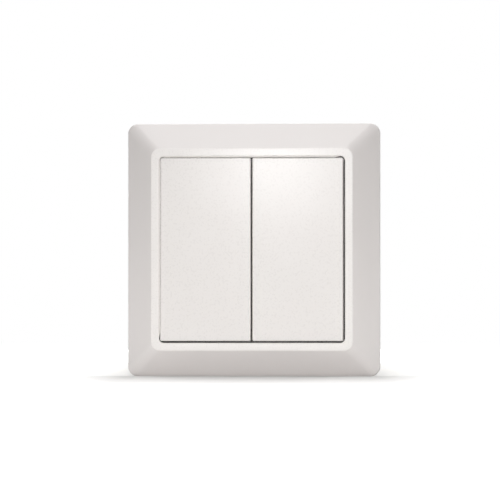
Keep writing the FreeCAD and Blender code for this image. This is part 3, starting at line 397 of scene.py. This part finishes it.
spring_steel = plated_metal(
    "nickel_plated_spring_steel",
    colour=screen_colour(205, 203, 196),
    drift=screen_colour(190, 187, 178),
    roughness=0.28,
    brush_size=0.0002,
)
screw_steel = plated_metal(
    "zinc_plated_screw_steel",
    colour=screen_colour(196, 200, 204),
    drift=screen_colour(176, 181, 188),
    roughness=0.34,
    brush_size=0.00015,
)
tinned_copper = plated_metal(
    "tinned_copper_wire",
    colour=screen_colour(206, 200, 190),
    drift=screen_colour(190, 172, 150),
    roughness=0.30,
    brush_size=0.0001,
)
cell_steel = plated_metal(
    "coin_cell_steel",
    colour=screen_colour(214, 214, 210),
    drift=screen_colour(198, 198, 192),
    roughness=0.22,
    brush_size=0.0001,
)
dress("battery_clip", spring_steel)
dress("battery_contact", spring_steel)
dress("board_screws", screw_steel)
dress("antenna_wire", tinned_copper)
dress("coin_cell", cell_steel)
dress("crystal", cell_steel)


# Push contacts: black moulded base, plated cover and a dark plunger that slides in it, two under
# each rocker. Their bases are glass-filled nylon, which is matt and slightly mottled.

base_finish = new_finish("black_filled_nylon", screen_colour(34, 34, 36), roughness=0.55)
base_mottling = grain(base_finish, size=0.0008, detail=3.0)
tint(base_finish, base_mottling, screen_colour(30, 30, 32), screen_colour(44, 44, 46))
gloss(base_finish, grain(base_finish, size=0.0005), shiny=0.48, dull=0.62)
relief(base_finish, grain(base_finish, size=0.0002), depth=0.000008)

plunger_finish = new_finish("dark_acetal_plunger", screen_colour(52, 50, 50), roughness=0.36)
plunger_clouds = grain(plunger_finish, size=0.001)
tint(plunger_finish, plunger_clouds, screen_colour(48, 46, 46), screen_colour(60, 58, 58))
gloss(plunger_finish, grain(plunger_finish, size=0.0006), shiny=0.30, dull=0.42)
relief(plunger_finish, grain(plunger_finish, size=0.0001), depth=0.000003)

for side in ("left", "right"):
    for end in ("upper", "lower"):
        dress(f"switch_base_{side}_{end}", base_finish)
        dress(f"switch_cover_{side}_{end}", spring_steel)
        dress(f"switch_plunger_{side}_{end}", plunger_finish)


# Soldered parts: the radio chip in black moulded epoxy, and the row of small ceramic capacitors with
# tan bodies. Both are soldered to the back of the board below the coin cell.

chip_finish = new_finish("black_moulded_epoxy", screen_colour(28, 28, 30), roughness=0.50)
chip_mottling = grain(chip_finish, size=0.0006, detail=3.0)
tint(chip_finish, chip_mottling, screen_colour(25, 25, 27), screen_colour(38, 38, 40))
gloss(chip_finish, grain(chip_finish, size=0.0004), shiny=0.44, dull=0.58)
relief(chip_finish, grain(chip_finish, size=0.00012, detail=3.0), depth=0.000006)
dress("radio_chip", chip_finish)

ceramic_finish = new_finish("tan_ceramic", screen_colour(158, 128, 96), roughness=0.40)
ceramic_clouds = grain(ceramic_finish, size=0.0005)
tint(ceramic_finish, ceramic_clouds, screen_colour(150, 120, 88), screen_colour(172, 142, 108))
gloss(ceramic_finish, grain(ceramic_finish, size=0.0004), shiny=0.32, dull=0.46)
relief(ceramic_finish, grain(ceramic_finish, size=0.0001), depth=0.000004)
dress("capacitors", ceramic_finish)


# Studio: a plain pale floor that falls away gently in front of the switch and lifts a little behind it.
# To the camera it glows, dimmed near the switch to paint a shadow there over the lamps' own soft shadow.

def toward(azimuth, elevation, distance):
    """Place seen from the origin at an azimuth from the front, an elevation and a distance."""
    across = math.sin(math.radians(azimuth)) * math.cos(math.radians(elevation))
    outward = math.cos(math.radians(azimuth)) * math.cos(math.radians(elevation))
    return Vector((across, -outward, math.sin(math.radians(elevation)))) * distance


floor_reach = 3.0
floor_slope = 9
floor_fall = floor_reach * math.tan(math.radians(floor_slope))
lift_end = solid_high.y + 0.013
lifted = solid_low.z + 0.004
floor_rows = (
    (-floor_reach, solid_low.z - floor_fall),
    (solid_low.y, solid_low.z),
    (solid_high.y, solid_low.z),
    (lift_end, lifted),
    (floor_reach, lifted),
)
floor_corners = [(across, y, z) for y, z in floor_rows for across in (-floor_reach, floor_reach)]
floor_faces = []
for left in range(0, len(floor_corners) - 2, 2):
    floor_faces.append((left, left + 1, left + 3, left + 2))
floor_mesh = bpy.data.meshes.new("floor")
floor_mesh.from_pydata(floor_corners, [], floor_faces)
floor = bpy.data.objects.new("floor", floor_mesh)
bpy.context.scene.collection.objects.link(floor)

floor_finish = new_finish("pale_floor", screen_colour(215, 214, 212), roughness=0.9)
shader_of(floor_finish).inputs["Specular IOR Level"].default_value = 0.0
floor_nodes, floor_links = floor_finish.node_tree.nodes, floor_finish.node_tree.links


def seen_directly(nodes, links):
    """1 for what the camera sees itself, in a mirror finish or through glass, and 0 for light."""
    path = nodes.new("ShaderNodeLightPath")
    total = path.outputs["Is Camera Ray"]
    for name in ("Is Glossy Ray", "Is Transmission Ray"):
        adding = nodes.new("ShaderNodeMath")
        adding.operation = "MAXIMUM"
        links.new(total, adding.inputs[0])
        links.new(path.outputs[name], adding.inputs[1])
        total = adding.outputs["Value"]
    return total


def from_foot(nodes, links, half_width, front):
    """Distance on the floor from the strip that the switch stands on."""
    place = nodes.new("ShaderNodeTexCoord")
    steps = (
        ("MULTIPLY", (1, 1, 0)),
        ("ADD", (0, -front / 2, 0)),
        ("ABSOLUTE", None),
        ("SUBTRACT", (half_width, -front / 2, 0)),
        ("MAXIMUM", (0, 0, 0)),
    )
    result = place.outputs["Object"]
    for operation, amount in steps:
        step = nodes.new("ShaderNodeVectorMath")
        step.operation = operation
        links.new(result, step.inputs[0])
        if amount is not None:
            step.inputs[1].default_value = amount
        result = step.outputs["Vector"]
    length = nodes.new("ShaderNodeVectorMath")
    length.operation = "LENGTH"
    links.new(result, length.inputs[0])
    return length.outputs["Value"]


# Painted shadow: the glow rises from a share of itself at the near distance to all of it at the far one,
# painting the dark line under the foot and deepening the soft shadow round it.
plain_white = (1.0, 1.0, 1.0, 1.0)
corner_radius = 0.0030
foot_half_width = solid_high.x - corner_radius / 2
painted_shadow_ramps = ((0.0, 0.008, 0.4), (0.008, 0.038, 0.34))
foot_distance = from_foot(floor_nodes, floor_links, foot_half_width, solid_low.y)
glow_strength = seen_directly(floor_nodes, floor_links)
for near, far, near_share in painted_shadow_ramps:
    rise = floor_nodes.new("ShaderNodeMapRange")
    rise.inputs["From Min"].default_value = near
    rise.inputs["From Max"].default_value = far
    rise.inputs["To Min"].default_value = near_share
    floor_links.new(foot_distance, rise.inputs["Value"])
    weaker = floor_nodes.new("ShaderNodeMath")
    weaker.operation = "MULTIPLY"
    floor_links.new(glow_strength, weaker.inputs[0])
    floor_links.new(rise.outputs["Result"], weaker.inputs[1])
    glow_strength = weaker.outputs["Value"]
floor_glow = floor_nodes.new("ShaderNodeEmission")
floor_glow.inputs["Color"].default_value = plain_white
floor_links.new(glow_strength, floor_glow.inputs["Strength"])
floor_sum = floor_nodes.new("ShaderNodeAddShader")
floor_links.new(shader_of(floor_finish).outputs["BSDF"], floor_sum.inputs[0])
floor_links.new(floor_glow.outputs["Emission"], floor_sum.inputs[1])
floor_links.new(floor_sum.outputs["Shader"], floor_nodes["Material Output"].inputs["Surface"])
floor.data.materials.append(floor_finish)

# The backdrop is white to look at and gives no light, so the lamps alone light the switch.
world = bpy.data.worlds.new("studio")
bpy.context.scene.world = world
world.use_nodes = True
backdrop = world.node_tree.nodes["Background"]
backdrop.inputs["Color"].default_value = plain_white
backdrop_strength = seen_directly(world.node_tree.nodes, world.node_tree.links)
world.node_tree.links.new(backdrop_strength, backdrop.inputs["Strength"])


# Lamps: a long soft box overhead, a little behind, which drops the shadow in front of the switch, one
# in front, one behind for the back, a card low on the table, and a card at each side of the foot.

def soft_box(name, place, aim, width, height, power):
    """Rectangular lamp at a place, facing an aim, that the camera doesn't see."""
    lamp = bpy.data.lights.new(name, "AREA")
    lamp.shape = "RECTANGLE"
    lamp.size = width
    lamp.size_y = height
    lamp.energy = power
    holder = bpy.data.objects.new(name, lamp)
    holder.location = place
    holder.rotation_euler = (aim - place).to_track_quat("-Z", "Y").to_euler()
    holder.visible_camera = False
    bpy.context.scene.collection.objects.link(holder)


middle = (solid_low + solid_high) / 2
soft_box("overhead_soft_box", toward(180, 82, 0.9), middle, width=0.90, height=0.30, power=7.4)
soft_box("front_soft_box", toward(8, 10, 1.1), middle, width=0.50, height=0.20, power=2.66)
soft_box("back_soft_box", toward(190, 4, 1.2), middle, width=0.50, height=0.20, power=4.0)
soft_box("table_card", toward(8, -12, 0.5), middle, width=0.30, height=0.06, power=0.33)
for name, side, power in (("left_card", -1, 0.0105), ("right_card", 1, 0.008)):
    card_place = Vector((side * 0.090, -0.055, -0.036))
    frame_foot = Vector((side * solid_high.x, 0, solid_low.z))
    soft_box(name, card_place, frame_foot, width=0.07, height=0.02, power=power)

# Two small lamps close in front make the soft bright patch high on the rockers and a faint low one.
near_place = Vector((-0.006, -0.170, 0.036))
bright_patch = Vector((0.0095, solid_low.y, 0.026))
soft_box("near_lamp", near_place, bright_patch, width=0.03, height=0.03, power=0.053)
low_place = Vector((-0.010, -0.170, -0.034))
faint_patch = Vector((0.003, solid_low.y, -0.030))
soft_box("low_lamp", low_place, faint_patch, width=0.05, height=0.03, power=0.0115)


# Camera: a long lens a little to the right of the switch and just below its middle, aimed a touch off
# its middle, so that the switch stands where it stands in the photograph and is as large.

camera_distance = 1.5
view_azimuth = 5.1
view_elevation = -1.0
field_at_switch = 0.1589
sensor_width = 36
switch_right_of_centre = 0.00151
switch_above_centre = -0.00004
sight = toward(view_azimuth, view_elevation, 1.0)
rightward = Vector((-sight.y, sight.x, 0)).normalized()
upward = sight.cross(rightward)
aim_point = -rightward * switch_right_of_centre - upward * switch_above_centre
camera = bpy.data.objects.new("camera", bpy.data.cameras.new("camera"))
camera.data.sensor_width = sensor_width
camera.data.lens = sensor_width * camera_distance / field_at_switch
camera.location = aim_point + sight * camera_distance
camera.rotation_euler = (-sight).to_track_quat("-Z", "Y").to_euler()
bpy.context.scene.collection.objects.link(camera)
bpy.context.scene.camera = camera
bpy.context.scene.view_settings.view_transform = "Standard"
